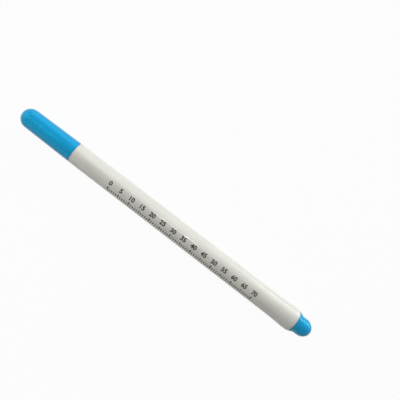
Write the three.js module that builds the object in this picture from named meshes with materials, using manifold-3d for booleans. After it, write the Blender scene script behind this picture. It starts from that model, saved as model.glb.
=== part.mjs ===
// Water-soluble fabric marker: a capped felt-tip pen made of eight push-fit pieces.
//
// Millimetres. The pen lies along X on the plane Z = 0, its cap towards -X and its tail plug towards +X.
// Each piece is revolved about the pen's axis and then ribbed, slotted or fluted. Stations along the axis
// are counted from the barrel's front face, where the mouth of the cap meets the barrel.

import * as THREE from "three";
import { mergeVertices } from "three/addons/utils/BufferGeometryUtils.js";
import Module from "manifold-3d";

const wasm = await Module();
wasm.setup();

// Clearances
const PRESS_CLEARANCE = 0.05; // on the radius, between pieces pushed together for good
const SLIDE_CLEARANCE = 0.06; // on the radius, between the cap and what it slides over
const FACE_CLEARANCE = 0.05; // between end faces that meet

// Barrel, moulded with draft, so it widens towards the tail
const BARREL_LENGTH = 108.8;
const BARREL_FRONT_DIAMETER = 8.55;
const BARREL_REAR_DIAMETER = 9.15;
const BARREL_WALL = 0.85;
const SWELL_HEIGHT = 0.31; // on the radius, where the tail plug is pressed in
const SWELL_LENGTH = 10;
const LIP_DROP = 0.25; // the rolled rear lip, from the swell down to the rim of the tail plug
const LIP_LENGTH = 1;
const EDGE_RADIUS = 0.2; // on the barrel's front edge and the cap's mouth
const GUIDE_RIBS = 6; // inside the barrel, round the reservoir
const GUIDE_RIB_HEIGHT = 0.25;
const GUIDE_RIB_WIDTH = 0.5;
const GUIDE_RIB_SETBACK = 1.5; // from the pieces at both ends of the bore

// Cap
const CAP_LENGTH = 24.7;
const CAP_TIP_DIAMETER = 8; // where the dome starts
const CAP_DOME_LENGTH = 3.9;
const CAP_WALL = 0.8;
const CAP_END_WALL = 1.8;
const CAP_INNER_ROUND = 1.6; // where its bore meets its end wall, under the dome
const CAP_MOUTH_CHAMFER = 0.3;
const GATE_DIAMETER = 1.2; // the flat that the moulding gate leaves on both domes

// Inner seal of the cap
const SEAL_WALL = 0.6;
const SEAL_END_WALL = 0.7;
const SEAL_STANDOFF = 0.6; // from its mouth to the shoulder of the nib holder
const SEAL_LEAD_IN = 0.25;

// Nib holder
const NECK_LENGTH = 7.8; // what the cap grips
const BEAD_HEIGHT = 0.12; // the grip ring on the neck, in the wider mouth of the cap
const BEAD_LENGTH = 1;
const BEAD_STATION = 2.4; // from the barrel's front face to the middle of the ring
const BAND_LENGTH = 3.2; // the sealing band in front of the neck
const NOSE_TUBE_LENGTH = 1.2;
const NOSE_WALL = 0.45;
const HOLDER_CHAMFER = 0.35; // on the shoulder and on the end of the spigot
const FLANGE_HEIGHT = 0.35; // the flange that stops in the barrel's counterbore
const FLANGE_THICKNESS = 1;
const HOLDER_SPIGOT_LENGTH = 9.5;
const VENT_GROOVES = 4; // along the outside of the spigot
const VENT_GROOVE_WIDTH = 0.6;
const VENT_GROOVE_DEPTH = 0.35;
const AIR_FLUTES = 3; // along the bore, beside the nib
const AIR_FLUTE_RADIUS = 0.25;
const CROSS_SLOT_WIDTH = 0.9; // across the rear face, so that air reaches the reservoir
const CROSS_SLOT_DEPTH = 1.2;

// Nib
const NIB_DIAMETER = 1.6;
const NIB_PROTRUSION = 2;
const NIB_POINT_LENGTH = 1.4;
const NIB_CLEARANCE = 0.9; // from its point to the end of the inner seal
const NIB_BITE = 8; // how far it reaches into the reservoir
const NIB_REAR_TAPER = 2.5;
const NIB_REAR_DIAMETER = 0.5;

// Reservoir wrap
const FILM_THICKNESS = 0.15;

// Tail plug
const PLUG_HEAD_LENGTH = 8.4;
const PLUG_NECK_DROP = 0.86; // on the radius, from its rim down to its neck
const PLUG_FLARE_LENGTH = 2.9;
const PLUG_DOME_LENGTH = 4.2;
const PLUG_SPIGOT_LENGTH = 8;
const PLUG_WALL = 0.9;
const PLUG_RINGS = 2; // press rings round the spigot
const PLUG_RING_HEIGHT = 0.2;
const PLUG_RING_LENGTH = 1.2;
const PLUG_CAVITY_IN_HEAD = 6.4;
const PLUG_CAVITY_ROUND = 1.6;
const PLUG_FIN_THICKNESS = 0.8; // the crossed fins that press on the reservoir
const PLUG_FIN_LENGTH = 5;

// Facets
const SHELL_SIDES = 48; // a multiple of 4, so that a facet faces straight down
const INNER_SIDES = 32;
const NIB_SIDES = 20;
const FLUTE_SIDES = 8;
const EDGE_STEPS = 3;
const RING_STEPS = 4;
const CURVE_STEPS = 6;
const DOME_STEPS = 9;

// Radii that the pieces share, from the outside in
const frontRadius = BARREL_FRONT_DIAMETER / 2;
const rearRadius = BARREL_REAR_DIAMETER / 2;
const swellRadius = rearRadius + SWELL_HEIGHT;
const rimRadius = swellRadius - LIP_DROP;
const frontBore = frontRadius - BARREL_WALL;
const rearBore = rearRadius - BARREL_WALL;
const capTipRadius = CAP_TIP_DIAMETER / 2;
const capMouthBore = frontRadius - CAP_WALL;
const beadRadius = capMouthBore - SLIDE_CLEARANCE;
const neckRadius = beadRadius - BEAD_HEIGHT;
const capNeckBore = neckRadius + SLIDE_CLEARANCE;
const capSealBore = capTipRadius - CAP_WALL;
const roundAxis = capSealBore - CAP_INNER_ROUND;
const sealRadius = capSealBore - PRESS_CLEARANCE;
const sealBore = sealRadius - SEAL_WALL;
const bandRadius = sealBore - SLIDE_CLEARANCE;
const nibRadius = NIB_DIAMETER / 2;
const nibRearRadius = NIB_REAR_DIAMETER / 2;
const nibBore = nibRadius + PRESS_CLEARANCE;
const noseRadius = nibBore + NOSE_WALL;
const holderSpigotRadius = frontBore - PRESS_CLEARANCE;
const flangeRadius = holderSpigotRadius + FLANGE_HEIGHT;
const guideRadius = frontBore - GUIDE_RIB_HEIGHT;
const filmRadius = guideRadius - PRESS_CLEARANCE;
const filmBore = filmRadius - FILM_THICKNESS;
const reservoirRadius = filmBore - PRESS_CLEARANCE;
const plugRingRadius = rearBore - PRESS_CLEARANCE;
const plugSpigotRadius = plugRingRadius - PLUG_RING_HEIGHT;
const plugCavityRadius = plugSpigotRadius - PLUG_WALL;
const plugNeckRadius = rimRadius - PLUG_NECK_DROP;
const gateRadius = GATE_DIAMETER / 2;

// Stations along the axis, from the cap's closed end to the tail
const capMouth = -FACE_CLEARANCE;
const capEnd = capMouth - CAP_LENGTH;
const capInnerEnd = capEnd + CAP_END_WALL;
const sealEnd = capInnerEnd + FACE_CLEARANCE;
const sealInnerEnd = sealEnd + SEAL_END_WALL;
const nibPoint = sealInnerEnd + NIB_CLEARANCE;
const noseEnd = nibPoint + NIB_PROTRUSION;
const coneFront = noseEnd + NOSE_TUBE_LENGTH;
const shoulder = -NECK_LENGTH;
const bandFront = shoulder - BAND_LENGTH;
const sealMouth = shoulder - SEAL_STANDOFF;
const beadFront = -BEAD_STATION - BEAD_LENGTH / 2;
const flangeFront = FACE_CLEARANCE;
const flangeBack = flangeFront + FLANGE_THICKNESS;
const holderEnd = flangeBack + HOLDER_SPIGOT_LENGTH;
const reservoirFront = holderEnd + FACE_CLEARANCE;
const nibEnd = reservoirFront + NIB_BITE;
const plugFront = BARREL_LENGTH - PLUG_SPIGOT_LENGTH;
const reservoirEnd = plugFront - FACE_CLEARANCE;
const plugRim = BARREL_LENGTH + FACE_CLEARANCE;
const plugEnd = plugRim + PLUG_HEAD_LENGTH;

// Between the seats of the pieces pressed into its ends, the barrel's bore widens with the draft.
const taperFront = holderEnd + GUIDE_RIB_SETBACK;
const taperBack = plugFront - GUIDE_RIB_SETBACK;

// Materials
const whitePlastic = new THREE.MeshStandardMaterial({ color: 0xe9e8e0, roughness: 0.35, metalness: 0 });
const cyanPlastic = new THREE.MeshStandardMaterial({ color: 0x1b9ad0, roughness: 0.25, metalness: 0 });
const sealPlastic = new THREE.MeshStandardMaterial({ color: 0xdfe6e6, roughness: 0.45, metalness: 0 });
const inkedNib = new THREE.MeshStandardMaterial({ color: 0x2f9fd6, roughness: 0.9, metalness: 0 });
const inkedFibre = new THREE.MeshStandardMaterial({ color: 0x7cc4e6, roughness: 0.95, metalness: 0 });
const wrapFilm = new THREE.MeshStandardMaterial({ color: 0xdfe3ea, roughness: 0.3, metalness: 0 });

const QUARTER = Math.PI / 2;

// A profile is a list of [radius, station] points that ends on the axis or where it began. Revolved, it
// has a facet that faces straight down.
function revolved(profile, sides) {
  const points = profile.map(([radius, station]) => new THREE.Vector2(radius, station));
  return solid(new THREE.LatheGeometry(points, sides, Math.PI / sides));
}

// Points of an elliptic arc about (radius, station). Angle 0 points away from the axis, and a quarter
// turn points towards the tail.
function arc(radius, station, radialSize, axialSize, from, to, steps) {
  const points = [];
  for (let i = 0; i <= steps; i++) {
    const angle = THREE.MathUtils.lerp(from, to, i / steps);
    points.push([radius + radialSize * Math.cos(angle), station + axialSize * Math.sin(angle)]);
  }
  return points;
}

// Points of a dome, from its rim to the gate that cuts its pole flat.
function dome(radius, rimStation, gateStation) {
  const gateAngle = Math.acos(gateRadius / radius);
  const axialSize = (gateStation - rimStation) / Math.sin(gateAngle);
  return arc(0, rimStation, radius, axialSize, 0, gateAngle, DOME_STEPS);
}

// Points of a soft rise or fall from one radius to another.
function rise(fromRadius, fromStation, toRadius, toStation) {
  const points = [];
  for (let i = 0; i <= CURVE_STEPS; i++) {
    const part = i / CURVE_STEPS;
    const radius = THREE.MathUtils.lerp(fromRadius, toRadius, THREE.MathUtils.smoothstep(part, 0, 1));
    points.push([radius, THREE.MathUtils.lerp(fromStation, toStation, part)]);
  }
  return points;
}

// A closed geometry as a solid that can be joined and cut.
function solid(geometry) {
  const bare = geometry.clone();
  bare.deleteAttribute("normal");
  bare.deleteAttribute("uv");
  const merged = mergeVertices(bare);
  const corners = merged.index.array;
  const triVerts = [];
  for (let i = 0; i < corners.length; i += 3) {
    const [a, b, c] = corners.subarray(i, i + 3);
    if (a !== b && b !== c && c !== a) triVerts.push(a, b, c);
  }
  const mesh = new wasm.Mesh({
    numProp: 3,
    vertProperties: new Float32Array(merged.attributes.position.array),
    triVerts: new Uint32Array(triVerts),
  });
  return new wasm.Manifold(mesh);
}

// A named mesh with the faces of a solid.
function piece(name, shape, material) {
  const { vertProperties, triVerts } = shape.getMesh();
  const indexed = new THREE.BufferGeometry();
  indexed.setAttribute("position", new THREE.BufferAttribute(vertProperties, 3));
  indexed.setIndex(new THREE.BufferAttribute(triVerts, 1));
  const faceted = indexed.toNonIndexed();
  faceted.computeVertexNormals();
  const mesh = new THREE.Mesh(faceted, material);
  mesh.name = name;
  return mesh;
}

// Copies of a geometry, as solids spaced evenly round the pen's axis.
function ring(geometry, count) {
  const copies = [];
  for (let i = 0; i < count; i++) {
    copies.push(solid(geometry.clone().rotateY((4 * QUARTER * i) / count)));
  }
  return copies;
}

// A bar or plate across the axis and another square to it.
function crossed(geometry) {
  return [solid(geometry), solid(geometry.clone().rotateY(QUARTER))];
}

function join(body, additions) {
  return additions.reduce((sum, addition) => sum.add(addition), body);
}

function cut(body, tools) {
  return tools.reduce((rest, tool) => rest.subtract(tool), body);
}

// Cap: a drafted shell with a domed end, flush with the barrel at its mouth. Behind the grip ring its bore
// steps in to the neck, and behind the shoulder to the seat of the inner seal.
function capShell() {
  const beadSeat = beadFront - SLIDE_CLEARANCE;
  const sealSeat = shoulder - FACE_CLEARANCE;
  const edge = frontRadius - EDGE_RADIUS;
  const profile = [
    [0, capEnd],
    ...dome(capTipRadius, capEnd + CAP_DOME_LENGTH, capEnd).reverse(),
    ...arc(edge, capMouth - EDGE_RADIUS, EDGE_RADIUS, EDGE_RADIUS, 0, QUARTER, EDGE_STEPS),
    [capMouthBore + CAP_MOUTH_CHAMFER, capMouth],
    [capMouthBore, capMouth - CAP_MOUTH_CHAMFER],
    [capMouthBore, beadSeat],
    [capNeckBore, beadSeat - BEAD_HEIGHT],
    [capNeckBore, sealSeat],
    [capSealBore, sealSeat - (capNeckBore - capSealBore)],
    ...arc(
      roundAxis, capInnerEnd + CAP_INNER_ROUND, CAP_INNER_ROUND, CAP_INNER_ROUND, 0, -QUARTER, EDGE_STEPS,
    ),
    [0, capInnerEnd],
  ];
  return revolved(profile, SHELL_SIDES);
}

// Inner seal: a soft cup pressed into the cap, rounded like the end of its bore. Its mouth closes on the
// holder's sealing band.
function capInnerSeal() {
  const round = sealRadius - roundAxis;
  const roundStation = sealEnd + round;
  const innerRound = round - SEAL_WALL;
  const innerDepth = round - SEAL_END_WALL;
  const profile = [
    [0, sealEnd],
    ...arc(roundAxis, roundStation, round, round, -QUARTER, 0, EDGE_STEPS),
    [sealRadius, sealMouth],
    [sealBore + SEAL_LEAD_IN, sealMouth],
    [sealBore, sealMouth - SEAL_LEAD_IN],
    ...arc(roundAxis, roundStation, innerRound, innerDepth, 0, -QUARTER, EDGE_STEPS),
    [0, sealInnerEnd],
  ];
  return revolved(profile, INNER_SIDES);
}

// Barrel: a drafted tube with a counterbore for the holder's flange, and guide ribs round the reservoir.
function barrel() {
  const swellStart = BARREL_LENGTH - LIP_LENGTH - SWELL_LENGTH;
  const lipStart = BARREL_LENGTH - LIP_LENGTH;
  const counterbore = flangeRadius + PRESS_CLEARANCE;
  const counterboreEnd = flangeBack + FACE_CLEARANCE;
  const edge = frontRadius - EDGE_RADIUS;
  const profile = [
    [counterbore, 0],
    ...arc(edge, EDGE_RADIUS, EDGE_RADIUS, EDGE_RADIUS, -QUARTER, 0, EDGE_STEPS),
    ...rise(rearRadius, swellStart, swellRadius, lipStart),
    ...arc(rimRadius, lipStart, LIP_DROP, LIP_LENGTH, 0, QUARTER, CURVE_STEPS).slice(1),
    [rearBore, BARREL_LENGTH],
    [rearBore, taperBack],
    [frontBore, taperFront],
    [frontBore, counterboreEnd],
    [counterbore, counterboreEnd],
    [counterbore, 0],
  ];
  return join(revolved(profile, SHELL_SIDES), ring(guideRib(), GUIDE_RIBS));
}

// One rib: level along the reservoir, and rooted half way into the barrel's tapered wall.
function guideRib() {
  const root = BARREL_WALL / 2;
  const side = new THREE.Shape();
  side.moveTo(guideRadius, taperFront);
  side.lineTo(frontBore + root, taperFront);
  side.lineTo(rearBore + root, taperBack);
  side.lineTo(guideRadius, taperBack);
  side.closePath();
  const rib = new THREE.ExtrudeGeometry(side, { depth: GUIDE_RIB_WIDTH, bevelEnabled: false });
  return rib.translate(0, 0, -GUIDE_RIB_WIDTH / 2);
}

// Nib holder: nose, sealing band, neck with its grip ring, flange and spigot in one moulding.
function nibHolder() {
  const profile = [
    [nibBore, noseEnd],
    [noseRadius, noseEnd],
    [noseRadius, coneFront],
    [bandRadius, bandFront],
    [bandRadius, shoulder],
    [neckRadius - HOLDER_CHAMFER, shoulder],
    [neckRadius, shoulder + HOLDER_CHAMFER],
    ...arc(neckRadius, -BEAD_STATION, BEAD_HEIGHT, BEAD_LENGTH / 2, -QUARTER, QUARTER, RING_STEPS),
    [neckRadius, flangeFront],
    [flangeRadius, flangeFront],
    [flangeRadius, flangeBack],
    [holderSpigotRadius, flangeBack],
    [holderSpigotRadius, holderEnd - HOLDER_CHAMFER],
    [holderSpigotRadius - HOLDER_CHAMFER, holderEnd],
    [nibBore, holderEnd],
    [nibBore, noseEnd],
  ];
  return cut(revolved(profile, INNER_SIDES), [...ventGrooves(), ...airFlutes(), ...crossSlots()]);
}

// Grooves along the outside of the spigot, from the flange to its rear end.
function ventGrooves() {
  const floor = holderSpigotRadius - VENT_GROOVE_DEPTH;
  const back = holderEnd + VENT_GROOVE_DEPTH;
  const tool = new THREE.BoxGeometry(2 * VENT_GROOVE_DEPTH, back - flangeBack, VENT_GROOVE_WIDTH);
  return ring(tool.translate(floor + VENT_GROOVE_DEPTH, (flangeBack + back) / 2, 0), VENT_GROOVES);
}

// Half-round channels beside the nib, from the nose to the rear face.
function airFlutes() {
  const length = holderEnd - noseEnd + 2 * AIR_FLUTE_RADIUS;
  const tool = new THREE.CylinderGeometry(AIR_FLUTE_RADIUS, AIR_FLUTE_RADIUS, length, FLUTE_SIDES);
  return ring(tool.translate(nibBore, (holderEnd + noseEnd) / 2, 0), AIR_FLUTES);
}

// Two crossed slots in the rear face.
function crossSlots() {
  const tool = new THREE.BoxGeometry(2 * flangeRadius, 2 * CROSS_SLOT_DEPTH, CROSS_SLOT_WIDTH);
  return crossed(tool.translate(0, holderEnd, 0));
}

// Nib: a fibre rod with a bullet point, tapered where it is pushed into the reservoir.
function nib() {
  const pointBack = nibPoint + NIB_POINT_LENGTH;
  const profile = [
    ...arc(0, pointBack, nibRadius, NIB_POINT_LENGTH, -QUARTER, 0, CURVE_STEPS),
    [nibRadius, nibEnd - NIB_REAR_TAPER],
    [nibRearRadius, nibEnd],
    [0, nibEnd],
  ];
  return revolved(profile, NIB_SIDES);
}

// Reservoir: a rod of bonded fibre with a pocket that the nib has opened in its front.
function inkReservoir() {
  const pocketEnd = nibEnd + FACE_CLEARANCE;
  const profile = [
    [nibBore, reservoirFront],
    [reservoirRadius, reservoirFront],
    [reservoirRadius, reservoirEnd],
    [0, reservoirEnd],
    [0, pocketEnd],
    [nibRearRadius + PRESS_CLEARANCE, pocketEnd],
    [nibBore, pocketEnd - NIB_REAR_TAPER],
    [nibBore, reservoirFront],
  ];
  return revolved(profile, INNER_SIDES);
}

// Wrap: the film sleeve that holds the fibre together.
function reservoirFilm() {
  const profile = [
    [filmBore, reservoirFront],
    [filmRadius, reservoirFront],
    [filmRadius, reservoirEnd],
    [filmBore, reservoirEnd],
    [filmBore, reservoirFront],
  ];
  return revolved(profile, INNER_SIDES);
}

// Tail plug: a flared rim on the barrel's lip, a necked dome, and a hollow spigot with press rings.
function tailPlug() {
  const neckStart = plugRim + PLUG_FLARE_LENGTH;
  const cavityEnd = plugRim + PLUG_CAVITY_IN_HEAD;
  const cavityCorner = plugCavityRadius - PLUG_CAVITY_ROUND;
  const cavityRoundStart = cavityEnd - PLUG_CAVITY_ROUND;
  const profile = [
    [plugCavityRadius, plugFront],
    [plugSpigotRadius - PLUG_RING_HEIGHT, plugFront],
    [plugSpigotRadius, plugFront + PLUG_RING_HEIGHT],
    ...pressRings(),
    [plugSpigotRadius, plugRim],
    ...rise(rimRadius, plugRim, plugNeckRadius, neckStart),
    ...dome(plugNeckRadius, plugEnd - PLUG_DOME_LENGTH, plugEnd),
    [0, plugEnd],
    [0, cavityEnd],
    ...arc(
      cavityCorner, cavityRoundStart, PLUG_CAVITY_ROUND, PLUG_CAVITY_ROUND, QUARTER, 0, EDGE_STEPS,
    ),
    [plugCavityRadius, plugFront],
  ];
  return join(revolved(profile, SHELL_SIDES), crossedFins());
}

// Press rings spaced evenly along the spigot.
function pressRings() {
  const pitch = PLUG_SPIGOT_LENGTH / (PLUG_RINGS + 1);
  const half = PLUG_RING_LENGTH / 2;
  const points = [];
  for (let i = 1; i <= PLUG_RINGS; i++) {
    const middle = plugFront + i * pitch;
    points.push(
      ...arc(plugSpigotRadius, middle, PLUG_RING_HEIGHT, half, -QUARTER, QUARTER, RING_STEPS),
    );
  }
  return points;
}

// Two fins across the cavity, flush with the front of the spigot.
function crossedFins() {
  const width = 2 * plugCavityRadius + PLUG_WALL;
  const fin = new THREE.BoxGeometry(width, PLUG_FIN_LENGTH, PLUG_FIN_THICKNESS);
  return crossed(fin.translate(0, plugFront + PLUG_FIN_LENGTH / 2, 0));
}

// The cap lifts off along the axis. The rest stays together.
const capGroup = new THREE.Group();
capGroup.add(
  piece("cap_shell", capShell(), cyanPlastic),
  piece("cap_inner_seal", capInnerSeal(), sealPlastic),
);

const barrelGroup = new THREE.Group();
barrelGroup.add(
  piece("barrel", barrel(), whitePlastic),
  piece("nib_holder", nibHolder(), whitePlastic),
  piece("nib", nib(), inkedNib),
  piece("ink_reservoir", inkReservoir(), inkedFibre),
  piece("reservoir_film", reservoirFilm(), wrapFilm),
  piece("tail_plug", tailPlug(), cyanPlastic),
);

// The axis is turned from Y to X, and the lowest facet of the swell lies on the plane Z = 0.
const pen = new THREE.Group();
pen.add(capGroup, barrelGroup);
pen.rotation.z = -QUARTER;
pen.position.x = -(capEnd + plugEnd) / 2;
pen.position.z = swellRadius * Math.cos(Math.PI / SHELL_SIDES);

const marker = new THREE.Group();
marker.add(pen);

export default marker;
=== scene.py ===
"""Looks of a capped, water-soluble fabric marker that lies on a white table and is seen from above.

Metres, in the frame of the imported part: the pen lies along X, its cap towards -X and its tail plug towards
+X, on the plane Z = 0. Every piece keeps its solid. This script gives the solids smooth shading and
finishes, prints a plain millimetre scale on the barrel, and adds the table, the lights and the camera.
"""

import math

import bmesh
import bpy
from mathutils import Matrix, Vector
from mathutils.bvhtree import BVHTree


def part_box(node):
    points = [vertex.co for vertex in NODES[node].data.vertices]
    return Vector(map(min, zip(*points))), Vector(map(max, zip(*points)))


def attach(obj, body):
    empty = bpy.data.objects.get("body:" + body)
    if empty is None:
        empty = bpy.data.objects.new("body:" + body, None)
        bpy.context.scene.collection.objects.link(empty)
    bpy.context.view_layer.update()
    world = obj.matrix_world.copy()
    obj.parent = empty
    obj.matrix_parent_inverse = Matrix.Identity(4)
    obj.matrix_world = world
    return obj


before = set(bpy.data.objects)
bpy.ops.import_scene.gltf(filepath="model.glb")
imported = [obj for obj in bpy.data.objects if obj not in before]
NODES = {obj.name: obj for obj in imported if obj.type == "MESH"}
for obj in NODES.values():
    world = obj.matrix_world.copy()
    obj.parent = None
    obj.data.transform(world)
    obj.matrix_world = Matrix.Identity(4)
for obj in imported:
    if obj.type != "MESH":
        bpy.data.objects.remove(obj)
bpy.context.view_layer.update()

MM = 0.001
WHITE = (1, 1, 1, 1)

# Camera: a phone from 0.2 m above, a little towards the cap. Its lens and film are in millimetres.
CAMERA_PLACE = Vector((-9.119, 1.342, 201.806)) * MM
CAMERA_FORWARD = Vector((0.06354, 0.07025, -0.99550))
CAMERA_UP = Vector((-0.61194, 0.79072, 0.01674))
CAMERA_LENS = 45
CAMERA_FILM_WIDTH = 36
CAMERA_NEAR = 10 * MM

# Smooth shading: edges that turn more sharply than this stay crisp
CRISP_ANGLE = math.radians(35)
WELD_DISTANCE = 0.0001 * MM

# Finishes: how deep the relief is, how far light goes into the plastic and how wide the grime lies
SKIN_DEPTH = 0.006 * MM
SCUFF_DEPTH = 0.0015 * MM
SCUFF_ROUGHNESS = 0.08
STRAND_DEPTH = 0.03 * MM
WRINKLE_DEPTH = 0.02 * MM
INK_GRAIN_DEPTH = 0.004 * MM
GLOW_REACH = 1.2 * MM
GRIME_WIDTH = 0.5 * MM

# Stations where the fibre rods are dry and where they are soaked through
NIB_DRY = 0.0
NIB_SOAKED = -66 * MM
RESERVOIR_DRY = 50 * MM
RESERVOIR_SOAKED = -40 * MM

# Printed scale, on the side of the barrel that leans towards -Y. Angles are from the top of the barrel.
SCALE_START = -27.7 * MM
SCALE_LENGTH = 70  # in millimetres, with a tick at each
NUMERAL_STEP = 5  # in millimetres, from one numeral to the next
NUMERAL_ANGLE = math.radians(11)
NUMERAL_HEIGHT = 1.85 * MM
NUMERAL_WEIGHT = 0.035  # how far the strokes are thickened, in text heights
NUMERAL_CURVE_STEPS = 3
TICK_ANGLE = math.radians(59)
TICK_HEIGHTS = {10: 1.9 * MM, 5: 1.6 * MM, 1: 1.25 * MM}
TICK_WIDTHS = {10: 0.46 * MM, 5: 0.4 * MM, 1: 0.34 * MM}
INK_LIFT = 0.012 * MM
INK_ROOT = 0.02 * MM
BAND = 0.2 * MM  # the print is cut into bands this wide, so that it bends round the barrel

# Soft lamps: place, aim, width and height, watts, colour. The panes of one window on the +Y side draw the
# bright band along the cap and the barrel, and the low strip beyond them the thin line at the tail. The lamp
# overhead and the one over the cap draw the cap's faint ridge of light, and the tube the fine line along the
# barrel's top. The lamp past the cap and the fills on the -Y side light the shade.
LAMPS = {
    "window_high": ((-0.175, 0.6, 0.41), (-0.175, 0, 0.41), (0.65, 0.22), 0.36, (1, 1, 1)),
    "window_low": ((-0.175, 0.6, 0.16), (-0.175, 0, 0.16), (0.65, 0.28), 0.8, (1, 1, 1)),
    "window_top": ((-0.05, 0.6, 0.86), (-0.05, 0, 0.4), (0.4, 0.68), 2.0, (1, 1, 1)),
    "window_beyond": ((0.4, 0.6, 0.3), (0.4, 0, 0.3), (0.4, 0.55), 1.5, (0.97, 1, 1)),
    "low_strip": ((0.8, 0.69, 0.06), (0.8, 0, 0.06), (1.24, 0.12), 3.4, (0.97, 1, 1)),
    "overhead": ((-0.34, -0.03, 0.7), (-0.34, -0.03, 0), (0.22, 0.28), 0.36, (1, 1, 1)),
    "over_cap": ((-0.3, 0.02, 0.2), (-0.04, 0, 0), (0.2, 0.2), 0.11, (1, 1, 1)),
    "tube": ((0.051, 0.155, 0.8), (0.003, 0, 0), (0.11, 0.015), 0.62, (1, 1, 1)),
    "cap_end": ((-1, 0, 0.6), (0, 0, 0), (1.2, 1), 3.0, (1, 1, 1)),
    "cap_fill": ((-0.25, -0.15, 0.2), (-0.05, 0, 0), (0.3, 0.2), 0.11, (1.05, 1, 0.95)),
    "low_fill": ((-0.15, -0.3, 0.1), (-0.05, 0, 0), (0.2, 0.15), 0.085, (1.05, 1, 0.95)),
}
WORLD_LIGHT = 0.04
TABLE_REACH = 3  # from its middle to each side
TABLE_WHITE = 0.95  # how much of the table's colour is plain white where it is seen
WORLD_WHITE = 0.955  # the white that the far end of the table comes to, with its share of the light


def box_centre(node):
    """The middle of a solid's bounding box."""
    low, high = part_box(node)
    return (low + high) / 2


PEN_AXIS_HEIGHT = box_centre("barrel").z
CAP_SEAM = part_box("barrel")[0].x
PLUG_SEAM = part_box("barrel")[1].x


class Tree:
    """Adds and joins the nodes of one node tree."""

    def __init__(self, tree):
        self.tree = tree

    def add(self, kind, settings=(), **inputs):
        """A node with its settings, and its inputs by name: each a value, or an output to link."""
        node = self.tree.nodes.new(kind)
        for name, value in dict(settings).items():
            setattr(node, name, value)
        for name, value in inputs.items():
            socket = self.find(node.inputs, name.replace("_", " "))
            if isinstance(value, bpy.types.NodeSocket):
                self.tree.links.new(value, socket)
            else:
                socket.default_value = value
        return node

    def find(self, sockets, name):
        """The first socket in use with that name."""
        return next(s for s in sockets if s.name == name and s.enabled)

    def point(self, stretch=(1, 1, 1)):
        """The place on the object, in metres, stretched along each axis."""
        place = self.add("ShaderNodeTexCoord").outputs["Object"]
        return self.add("ShaderNodeMapping", Vector=place, Scale=stretch).outputs["Vector"]

    def noise(self, scale, stretch=(1, 1, 1), detail=3.0, rough=0.5):
        """Noise round 0.5, with that many features to a metre."""
        node = self.add(
            "ShaderNodeTexNoise", Vector=self.point(stretch), Scale=scale, Detail=detail, Roughness=rough
        )
        return node.outputs["Fac"]

    def spread(self, value, low, high, to_low=0.0, to_high=1.0):
        """The value between low and high, mapped to the range from to_low to to_high and clamped."""
        node = self.add(
            "ShaderNodeMapRange",
            Value=value,
            From_Min=low,
            From_Max=high,
            To_Min=to_low,
            To_Max=to_high,
        )
        return node.outputs["Result"]

    def maths(self, operation, *values):
        """One operation on values, each a number or an output to link."""
        node = self.tree.nodes.new("ShaderNodeMath")
        node.operation = operation
        for socket, value in zip(node.inputs, values):
            if isinstance(value, bpy.types.NodeSocket):
                self.tree.links.new(value, socket)
            else:
                socket.default_value = value
        return node.outputs["Value"]

    def blend(self, part, first, second):
        """The first colour where part is 0 and the second where it is 1."""
        node = self.add("ShaderNodeMix", {"data_type": "RGBA"}, Factor=part, A=first, B=second)
        return self.find(node.outputs, "Result")

    def mix_shaders(self, part, first, second):
        """The first shader where part is 0 and the second where it is 1."""
        node = self.tree.nodes.new("ShaderNodeMixShader")
        for socket, value in zip(node.inputs, (part, first, second)):
            self.tree.links.new(value, socket)
        return node.outputs["Shader"]

    def bump(self, height, distance, under=None):
        """A normal for relief of that depth in metres, on top of the relief under it."""
        inputs = {"Height": height, "Distance": distance}
        if under is not None:
            inputs["Normal"] = under
        return self.add("ShaderNodeBump", **inputs).outputs["Normal"]

    def along(self):
        """The place along the pen."""
        return self.add("ShaderNodeSeparateXYZ", Vector=self.point()).outputs["X"]

    def near(self, station, width):
        """1 at that station along the pen, falling to 0 at that width from it."""
        gap = self.maths("ABSOLUTE", self.maths("SUBTRACT", self.along(), station))
        return self.spread(gap, 0, width, 1, 0)


def tinted(colour, factor):
    """The colour made lighter or darker, with an alpha of 1."""
    return (*[channel * factor for channel in colour], 1)


def new_material(name):
    """An empty material and its node tree."""
    material = bpy.data.materials.new(name)
    material.use_nodes = True
    material.node_tree.nodes.clear()
    return material, Tree(material.node_tree)


def finish_surface(tree, shader):
    """Makes the shader the surface of its material."""
    tree.add("ShaderNodeOutputMaterial", Surface=shader.outputs["BSDF"])


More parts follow.
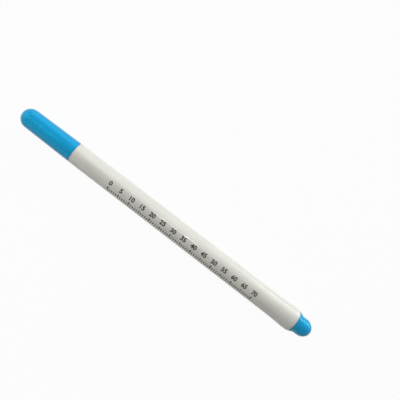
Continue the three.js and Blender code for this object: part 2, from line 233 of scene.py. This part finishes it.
def moulded_plastic(name, colour, roughness, specular, sheen_colour=WHITE, glow=0.0, grime=0.24):
    """Injection-moulded plastic: faint flow marks, an orange-peel skin, handling scuffs along the pen and
    a little grime where two pieces meet. Glow is the share of light that spreads under the skin, and grime
    the share of the colour that it covers at most."""
    material, tree = new_material(name)
    cloud = tree.noise(90, detail=2)
    flow = tree.noise(500, stretch=(0.08, 1, 1), detail=4)
    speck = tree.noise(5200, detail=2)
    tone = tree.blend(tree.spread(cloud, 0.3, 0.7), tinted(colour, 0.975), tinted(colour, 1.02))
    tone = tree.blend(tree.spread(flow, 0.35, 0.75, 0, 0.35), tone, tinted(colour, 0.95))
    tone = tree.blend(tree.spread(speck, 0.68, 0.8, 0, 0.25), tone, tinted(colour, 0.85))
    seams = tree.maths("MAXIMUM", tree.near(CAP_SEAM, GRIME_WIDTH), tree.near(PLUG_SEAM, GRIME_WIDTH))
    dirt = tree.maths("MULTIPLY", seams, tree.spread(tree.noise(1400), 0.35, 0.7, 0, grime))
    tone = tree.blend(dirt, tone, tinted(colour, 0.45))

    scuff = tree.noise(2600, stretch=(0.03, 1, 1), detail=5, rough=0.65)
    worn = tree.maths(
        "MULTIPLY",
        tree.spread(scuff, 0.58, 0.72),
        tree.spread(tree.noise(70, detail=1), 0.45, 0.65),
    )
    gloss = tree.spread(cloud, 0.3, 0.7, roughness - 0.03, roughness + 0.04)
    gloss = tree.maths("ADD", gloss, tree.maths("MULTIPLY", worn, SCUFF_ROUGHNESS))

    peel = tree.noise(900, detail=2)
    skin = tree.bump(peel, SKIN_DEPTH)
    skin = tree.bump(worn, SCUFF_DEPTH, skin)
    shader = tree.add(
        "ShaderNodeBsdfPrincipled",
        Base_Color=tone,
        Roughness=gloss,
        Specular_IOR_Level=specular,
        Specular_Tint=sheen_colour,
        Subsurface_Weight=glow,
        Subsurface_Radius=(1, 1, 1),
        Subsurface_Scale=GLOW_REACH,
        Normal=skin,
    )
    finish_surface(tree, shader)
    return material


def bonded_fibre(name, dry_colour, wet_colour, dry, soaked):
    """A rod of fibres along the pen, soaked with ink more deeply from one station to another."""
    material, tree = new_material(name)
    strands = tree.noise(7000, stretch=(0.02, 1, 1), detail=4, rough=0.6)
    clumps = tree.noise(1200, stretch=(0.15, 1, 1))
    wet = tree.spread(tree.along(), dry, soaked)
    tone = tree.blend(wet, tinted(dry_colour, 1), tinted(wet_colour, 1))
    tone = tree.blend(tree.spread(strands, 0.35, 0.7), tone, tinted(wet_colour, 0.55))
    tone = tree.blend(tree.spread(clumps, 0.4, 0.8, 0, 0.3), tone, tinted(dry_colour, 1.1))
    shader = tree.add(
        "ShaderNodeBsdfPrincipled",
        Base_Color=tone,
        Roughness=tree.spread(strands, 0.3, 0.7, 0.7, 0.92),
        Specular_IOR_Level=0.25,
        Sheen_Weight=0.15,
        Normal=tree.bump(strands, STRAND_DEPTH),
    )
    finish_surface(tree, shader)
    return material


def wrap_film(name, colour):
    """Clear film, with the faint lengthwise wrinkles of a heat-sealed sleeve."""
    material, tree = new_material(name)
    wrinkle = tree.noise(1500, stretch=(0.06, 1, 1), detail=3)
    tone = tree.blend(tree.spread(wrinkle, 0.4, 0.7), tinted(colour, 1), tinted(colour, 0.9))
    shader = tree.add(
        "ShaderNodeBsdfPrincipled",
        Base_Color=tone,
        Roughness=tree.spread(wrinkle, 0.3, 0.7, 0.12, 0.25),
        Transmission_Weight=0.6,
        Normal=tree.bump(wrinkle, WRINKLE_DEPTH),
    )
    finish_surface(tree, shader)
    return material


def printed_ink(name, colour):
    """Pad-printed ink: matt, a little thin in places."""
    material, tree = new_material(name)
    thin = tree.noise(3500, detail=4, rough=0.6)
    tone = tree.blend(tree.spread(thin, 0.5, 0.8), tinted(colour, 1), tinted(colour, 3))
    shader = tree.add(
        "ShaderNodeBsdfPrincipled",
        Base_Color=tone,
        Roughness=tree.spread(thin, 0.3, 0.7, 0.45, 0.6),
        Specular_IOR_Level=0.3,
        Normal=tree.bump(thin, INK_GRAIN_DEPTH),
    )
    finish_surface(tree, shader)
    return material


def smooth_moulding():
    """A geometry node group that welds a faceted solid and shades it smooth between its crisp edges."""
    group = bpy.data.node_groups.new("smooth_moulding", "GeometryNodeTree")
    for direction in ("INPUT", "OUTPUT"):
        group.interface.new_socket("Geometry", in_out=direction, socket_type="NodeSocketGeometry")
    tree = Tree(group)
    start = tree.add("NodeGroupInput").outputs["Geometry"]
    bare = tree.add("GeometryNodeRemoveAttribute", Geometry=start, Name="custom_normal")
    welded = tree.add(
        "GeometryNodeMergeByDistance", Geometry=bare.outputs["Geometry"], Distance=WELD_DISTANCE
    )
    smooth = tree.add(
        "GeometryNodeSetShadeSmooth",
        {"domain": "FACE"},
        Geometry=welded.outputs["Geometry"],
        Shade_Smooth=True,
    )
    turn = tree.add("GeometryNodeInputMeshEdgeAngle").outputs["Unsigned Angle"]
    sharp = tree.add(
        "FunctionNodeCompare", {"data_type": "FLOAT", "operation": "GREATER_THAN"}, A=turn, B=CRISP_ANGLE
    )
    crisp = tree.add(
        "GeometryNodeSetShadeSmooth",
        {"domain": "EDGE"},
        Geometry=smooth.outputs["Geometry"],
        Selection=sharp.outputs["Result"],
        Shade_Smooth=False,
    )
    tree.add("NodeGroupOutput", Geometry=crisp.outputs["Geometry"])
    return group


def dress(node, material, smoothing):
    """Gives a solid its finish and its smooth shading."""
    solid = NODES[node]
    solid.data.materials.clear()
    solid.data.materials.append(material)
    solid.modifiers.new("smooth", "NODES").node_group = smoothing
    weighted = solid.modifiers.new("weighted", "WEIGHTED_NORMAL")
    weighted.mode = "FACE_AREA_WITH_ANGLE"
    weighted.keep_sharp = True


def dress_solids():
    """Gives every solid of the part its finish."""
    smoothing = smooth_moulding()
    cyan = (0.012, 0.36, 0.75)
    cyan_sheen = (0.05, 1, 0.8, 1)
    white = (0.8, 0.79, 0.73)
    finishes = {
        "cap_shell": moulded_plastic("cyan_cap", cyan, 0.12, 0.5, cyan_sheen),
        "tail_plug": moulded_plastic("cyan_plug", cyan, 0.12, 0.5, cyan_sheen),
        "barrel": moulded_plastic("white_barrel", white, 0.12, 0.35, glow=0.08, grime=0.08),
        "nib_holder": moulded_plastic("white_holder", (0.84, 0.84, 0.81), 0.32, 0.4, glow=0.1),
        "cap_inner_seal": moulded_plastic("milky_seal", (0.76, 0.8, 0.8), 0.42, 0.4, glow=0.3),
        "nib": bonded_fibre("nib_fibre", (0.2, 0.55, 0.8), (0.03, 0.35, 0.72), NIB_DRY, NIB_SOAKED),
        "ink_reservoir": bonded_fibre(
            "reservoir_fibre", (0.45, 0.7, 0.85), (0.1, 0.45, 0.75), RESERVOIR_DRY, RESERVOIR_SOAKED
        ),
        "reservoir_film": wrap_film("clear_film", (0.85, 0.88, 0.92)),
    }
    for node, material in finishes.items():
        dress(node, material, smoothing)


def barrel_surface():
    """A function that gives the point of the barrel's outside at a station and an angle from its top,
    lifted off the surface by that much."""
    barrel = NODES["barrel"]
    surface = BVHTree.FromPolygons(
        [v.co for v in barrel.data.vertices], [p.vertices for p in barrel.data.polygons]
    )
    reach = 2 * (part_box("barrel")[1].z - PEN_AXIS_HEIGHT)

    def point(station, angle, lift):
        outward = Vector((0, -math.sin(angle), math.cos(angle)))
        on_axis = Vector((station, 0, PEN_AXIS_HEIGHT))
        hit = surface.ray_cast(on_axis + reach * outward, -outward)[0]
        return hit + lift * outward

    return point


def cut_in_bands(shape):
    """Cuts a flat shape at every band across the barrel."""
    low = min(v.co.y for v in shape.verts)
    high = max(v.co.y for v in shape.verts)
    count = math.ceil((high - low) / BAND)
    for i in range(1, count):
        place = (0, low + (high - low) * i / count, 0)
        geometry = shape.verts[:] + shape.edges[:] + shape.faces[:]
        bmesh.ops.bisect_plane(shape, geom=geometry, plane_co=place, plane_no=(0, 1, 0))


def print_on_barrel(name, shape, angle, material):
    """Wraps a flat shape round the barrel as a film of ink. In the flat shape X is the station and Y the
    distance up from the line at that angle."""
    cut_in_bands(shape)
    bmesh.ops.triangulate(shape, faces=shape.faces[:])
    raised = bmesh.ops.extrude_face_region(shape, geom=shape.faces[:])
    top = {v for v in raised["geom"] if isinstance(v, bmesh.types.BMVert)}
    surface = barrel_surface()
    radius = (surface(box_centre("barrel").x, angle, 0) - box_centre("barrel")).length
    for v in shape.verts:
        lift = INK_LIFT if v in top else -INK_ROOT
        v.co = surface(v.co.x, angle - v.co.y / radius, lift)
    bmesh.ops.recalc_face_normals(shape, faces=shape.faces[:])
    mesh = bpy.data.meshes.new(name)
    shape.to_mesh(mesh)
    shape.free()
    mesh.materials.append(material)
    piece = bpy.data.objects.new(name, mesh)
    bpy.context.scene.collection.objects.link(piece)
    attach(piece, "barrel")


def tick_shapes():
    """Ticks at every millimetre, longer at every fifth and tenth."""
    shape = bmesh.new()
    for i in range(SCALE_LENGTH + 1):
        kind = next(step for step in TICK_HEIGHTS if i % step == 0)
        middle = SCALE_START + i * MM
        half = TICK_WIDTHS[kind] / 2
        corners = [
            (middle - half, 0),
            (middle + half, 0),
            (middle + half, TICK_HEIGHTS[kind]),
            (middle - half, TICK_HEIGHTS[kind]),
        ]
        shape.faces.new([shape.verts.new((x, y, 0)) for x, y in corners])
    return shape


def numeral_shapes():
    """Plain numerals centred over every fifth tick, as flat shapes."""
    shape = bmesh.new()
    for i in range(0, SCALE_LENGTH + 1, NUMERAL_STEP):
        text = bpy.data.curves.new("numeral", "FONT")
        text.body = str(i)
        text.align_x = "CENTER"
        text.resolution_u = NUMERAL_CURVE_STEPS
        text.offset = NUMERAL_WEIGHT
        holder = bpy.data.objects.new("numeral", text)
        flat = holder.to_mesh()
        tall = max(v.co.y for v in flat.vertices)
        size = NUMERAL_HEIGHT / tall
        place = Matrix.Translation((SCALE_START + i * MM, -NUMERAL_HEIGHT / 2, 0))
        flat.transform(place @ Matrix.Scale(size, 4))
        shape.from_mesh(flat)
        holder.to_mesh_clear()
        bpy.data.objects.remove(holder)
        bpy.data.curves.remove(text)
    bmesh.ops.remove_doubles(shape, verts=shape.verts[:], dist=WELD_DISTANCE)
    return shape


def print_scale():
    """Prints the numerals and, below them, the ticks."""
    ink = printed_ink("scale_ink", (0.012, 0.012, 0.011))
    print_on_barrel("scale_numerals", numeral_shapes(), NUMERAL_ANGLE, ink)
    print_on_barrel("scale_ticks", tick_shapes(), TICK_ANGLE, ink)


def seen_directly(tree):
    """1 for rays from the camera and for those that gloss and glass send on, and 0 for the rest."""
    path = tree.add("ShaderNodeLightPath").outputs
    both = tree.maths("MAXIMUM", path["Is Camera Ray"], path["Is Glossy Ray"])
    return tree.maths("MAXIMUM", both, path["Is Transmission Ray"])


def white_table():
    """A large white table. The camera sees it close to white, with the pen's soft shadow kept."""
    material, tree = new_material("white_table")
    grain = tree.noise(350, detail=4)
    tone = tree.blend(grain, (0.78, 0.78, 0.78, 1), (0.82, 0.82, 0.82, 1))
    matt = tree.add("ShaderNodeBsdfDiffuse", Color=tone)
    white = tree.add("ShaderNodeEmission", Color=WHITE, Strength=1.0)
    share = tree.maths("MULTIPLY", seen_directly(tree), TABLE_WHITE)
    mixed = tree.mix_shaders(share, matt.outputs["BSDF"], white.outputs["Emission"])
    tree.add("ShaderNodeOutputMaterial", Surface=mixed)

    mesh = bpy.data.meshes.new("table")
    corners = [(x * TABLE_REACH, y * TABLE_REACH, 0) for x, y in ((-1, -1), (1, -1), (1, 1), (-1, 1))]
    mesh.from_pydata(corners, [], [(0, 1, 2, 3)])
    mesh.materials.append(material)
    table = bpy.data.objects.new("table", mesh)
    bpy.context.scene.collection.objects.link(table)


def placed(place, across, up, back):
    """The matrix of a lamp or a camera at a place, from the ways that its own axes point."""
    return Matrix.Translation(place) @ Matrix((across, up, back)).transposed().to_4x4()


def area_light(name, place, aim, size, watts, colour):
    """A rectangular lamp that faces a point, with its width along the pen where it can be."""
    light = bpy.data.lights.new(name, "AREA")
    light.shape = "RECTANGLE"
    light.size, light.size_y = size
    light.energy = watts
    light.color = colour
    lamp = bpy.data.objects.new(name, light)
    back = (Vector(place) - Vector(aim)).normalized()
    up = back.cross(Vector((1, 0, 0))).normalized()
    lamp.matrix_world = placed(place, up.cross(back), up, back)
    bpy.context.scene.collection.objects.link(lamp)


def studio_light():
    """Lights the pen with the lamps. Where the camera, gloss or glass sees the world, it is as white as the
    table, so that no horizon shows, and it is dim as light."""
    for name, lamp in LAMPS.items():
        area_light(name, *lamp)
    world = bpy.data.worlds.new("studio")
    bpy.context.scene.world = world
    world.use_nodes = True
    world.node_tree.nodes.clear()
    tree = Tree(world.node_tree)
    strength = tree.spread(seen_directly(tree), 0, 1, WORLD_LIGHT, WORLD_WHITE)
    ground = tree.add("ShaderNodeBackground", Color=WHITE, Strength=strength)
    tree.add("ShaderNodeOutputWorld", Surface=ground.outputs["Background"])


def photo_camera():
    """A camera where the photo's was. A fit to the outlines of the pens gave its place and its lens."""
    data = bpy.data.cameras.new("camera")
    data.lens = CAMERA_LENS
    data.sensor_width = CAMERA_FILM_WIDTH
    data.clip_start = CAMERA_NEAR
    camera = bpy.data.objects.new("camera", data)
    back = -CAMERA_FORWARD.normalized()
    across = CAMERA_UP.cross(back).normalized()
    camera.matrix_world = placed(CAMERA_PLACE, across, back.cross(across), back)
    bpy.context.scene.collection.objects.link(camera)
    bpy.context.scene.camera = camera


photo_camera()
dress_solids()
print_scale()
white_table()
studio_light()
bpy.context.scene.view_settings.view_transform = "Standard"
